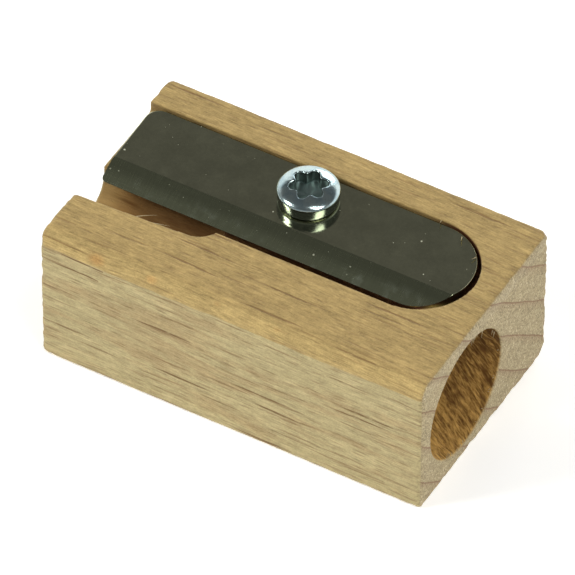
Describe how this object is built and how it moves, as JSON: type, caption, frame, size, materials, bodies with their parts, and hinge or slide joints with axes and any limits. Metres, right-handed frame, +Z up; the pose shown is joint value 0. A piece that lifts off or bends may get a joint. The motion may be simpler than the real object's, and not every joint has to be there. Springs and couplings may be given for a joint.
{
  "type": "pencil sharpener",
  "caption": "Rectangular beech block sharpener with a slanted conical bore, a chip throat, and a bevelled steel blade held in a milled recess by a screw.",
  "frame": {"origin": "middle of the block's bottom face, where it rests on a table", "axes": "+X along the block towards the mouth that takes the pencil, +Y from the bore's side to the blade screw's side, +Z up through the blade"},
  "size_m": [0.026, 0.015, 0.0116],
  "materials": {
    "beech": "planed and sawn beech, no varnish",
    "blade_steel": "dark oiled carbon steel, glossy top, ground bevel",
    "zinc_plate": "bright zinc plate"
  },
  "bodies": {
    "body": {"wooden_body": "beech"},
    "blade": {"blade": "blade_steel"},
    "screw": {"blade_screw": "zinc_plate"}
  },
  "joints": [
    {"name": "blade_lift", "type": "slide", "parent": "body", "child": "blade", "axis": [0, 0, 1], "range_m": [0, 0.006]},
    {"name": "screw_turn", "type": "hinge", "parent": "blade", "child": "screw", "pos_m": [-0.0006, 0.00293, 0.01098], "axis": [0, 0, 1], "range_deg": [0, 2700]}
  ],
  "couplings": [
    {"joint": "screw_turn", "follows": "blade_lift", "rad_per_m": 7854}
  ]
}
